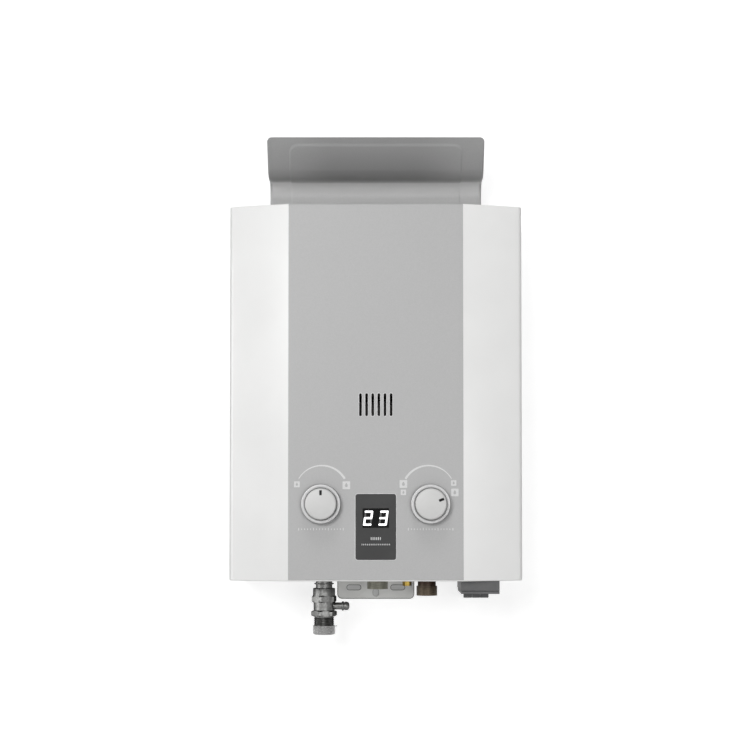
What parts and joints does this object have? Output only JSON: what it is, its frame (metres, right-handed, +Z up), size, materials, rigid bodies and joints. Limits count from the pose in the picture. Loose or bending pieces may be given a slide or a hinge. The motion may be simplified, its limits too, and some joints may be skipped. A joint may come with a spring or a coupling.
{
  "type": "tankless gas water heater",
  "caption": "Wall-hung instantaneous gas water heater with slanted side facets, grey centre panel, flue hood, turning knobs, lit display, pipe connections below and a hinged battery box.",
  "frame": {"origin": "on the wall plane, at the middle of the casing's lower edge", "axes": "+Z up, +Y into the wall so the front faces -Y, +X to the viewer's right"},
  "size_m": [0.2952, 0.1455, 0.5007],
  "materials": {
    "white_paint": "white baked enamel on sheet steel",
    "silver_paint": "silver-grey baked enamel on sheet steel",
    "hood_paint": "grey heat-resistant enamel on pressed steel",
    "galvanised": "galvanised sheet steel",
    "stainless": "plain stainless steel",
    "screw_steel": "zinc-plated screw steel",
    "copper": "tinned copper sheet and tube",
    "brass": "forged and turned brass",
    "nickel": "satin nickel plate on brass",
    "die_cast": "die-cast aluminium",
    "knob_chrome": "bright plated ring",
    "knob_satin": "satin silver moulded cap",
    "black_plastic": "moulded black plastic",
    "grey_plastic": "moulded dark grey plastic",
    "display_plate": "dark grey printed display plate",
    "display_black": "black display module",
    "lit_segment": "lit white display segment",
    "rubber": "moulded rubber sheet",
    "polythene": "translucent moulded polythene",
    "board": "glass-fibre circuit board",
    "ceramic": "glazed ceramic insulator",
    "lead": "silicone insulated lead",
    "cell": "printed cell sleeve"
  },
  "bodies": {
    "casing": {"back_plate": "galvanised", "service_shelf": "galvanised", "front_cover": "white_paint", "facia": "silver_paint", "casing_screws": "screw_steel", "flue_hood": "hood_paint", "flue_collector": "galvanised", "combustion_chamber": "copper", "chamber_brackets": "galvanised", "chamber_coil": "copper", "exchanger_fins": "copper", "fin_tubes": "copper", "cold_pipe": "copper", "hot_pipe": "copper", "burner_frame": "galvanised", "burner_bars": "stainless", "gas_manifold": "die_cast", "injectors": "brass", "gas_riser": "die_cast", "gas_valve_body": "die_cast", "gas_inlet_stub": "die_cast", "valve_bracket": "galvanised", "solenoid_coil": "black_plastic", "water_valve_body": "brass", "diaphragm": "rubber", "diaphragm_cover": "brass", "diaphragm_screws": "screw_steel", "micro_switch": "black_plastic", "outlet_stub": "nickel", "union_nut": "nickel", "purge_tee": "nickel", "control_box": "grey_plastic", "control_box_lid": "grey_plastic", "control_board": "board", "electrode_insulators": "ceramic", "electrode_rods": "stainless", "electrode_brackets": "galvanised", "overheat_switch": "black_plastic", "temperature_sensor": "brass", "wiring_leads": "lead", "display_bezel": "display_plate", "display_module": "display_black", "display_digits": "lit_segment", "display_board": "board", "battery_box": "grey_plastic", "battery_cells": "cell", "hinge_pin": "screw_steel"},
    "gas_knob": {"gas_knob_ring": "knob_chrome", "gas_knob_cap": "knob_satin", "gas_spindle": "brass"},
    "water_knob": {"water_knob_ring": "knob_chrome", "water_knob_cap": "knob_satin", "water_spindle": "brass"},
    "push_rod": {"push_rod": "brass"},
    "switch_button": {"switch_button": "lead"},
    "solenoid_plunger": {"solenoid_plunger": "stainless"},
    "purge_screw": {"purge_screw": "nickel"},
    "thread_cap": {"thread_cap": "polythene"},
    "drain_plug": {"drain_plug": "brass"},
    "battery_lid": {"battery_lid": "grey_plastic"}
  },
  "joints": [
    {"name": "gas_knob_turn", "type": "hinge", "parent": "casing", "child": "gas_knob", "pos_m": [-0.0536, -0.13, 0.0756], "axis": [0, 1, 0], "range_deg": [-55, 55]},
    {"name": "water_knob_turn", "type": "hinge", "parent": "casing", "child": "water_knob", "pos_m": [0.0536, -0.13, 0.0756], "axis": [0, 1, 0], "range_deg": [-136, 0]},
    {"name": "battery_lid_swing", "type": "hinge", "parent": "casing", "child": "battery_lid", "pos_m": [0.103, -0.038, -0.017], "axis": [1, 0, 0], "range_deg": [0, 95]},
    {"name": "thread_cap_pull", "type": "slide", "parent": "casing", "child": "thread_cap", "axis": [0, 0, -1], "range_m": [0, 0.03]},
    {"name": "purge_screw_turn", "type": "hinge", "parent": "casing", "child": "purge_screw", "pos_m": [-0.03, -0.062, -0.0279], "axis": [1, 0, 0], "range_deg": [0, 270]},
    {"name": "drain_plug_turn", "type": "hinge", "parent": "casing", "child": "drain_plug", "pos_m": [0.0317, -0.062, 0], "axis": [0, 0, 1], "range_deg": [0, 270]},
    {"name": "push_rod_slide", "type": "slide", "parent": "casing", "child": "push_rod", "axis": [-1, 0, 0], "range_m": [0, 0.0035], "stiffness_N_per_m": 400},
    {"name": "switch_button_slide", "type": "slide", "parent": "casing", "child": "switch_button", "axis": [0, 0, 1], "range_m": [0, 0.0012]},
    {"name": "solenoid_plunger_slide", "type": "slide", "parent": "casing", "child": "solenoid_plunger", "axis": [-1, 0, 0], "range_m": [0, 0.0025], "stiffness_N_per_m": 400}
  ],
  "couplings": [
    {"joint": "switch_button_slide", "follows": "push_rod_slide", "ratio": 0.34286}
  ]
}
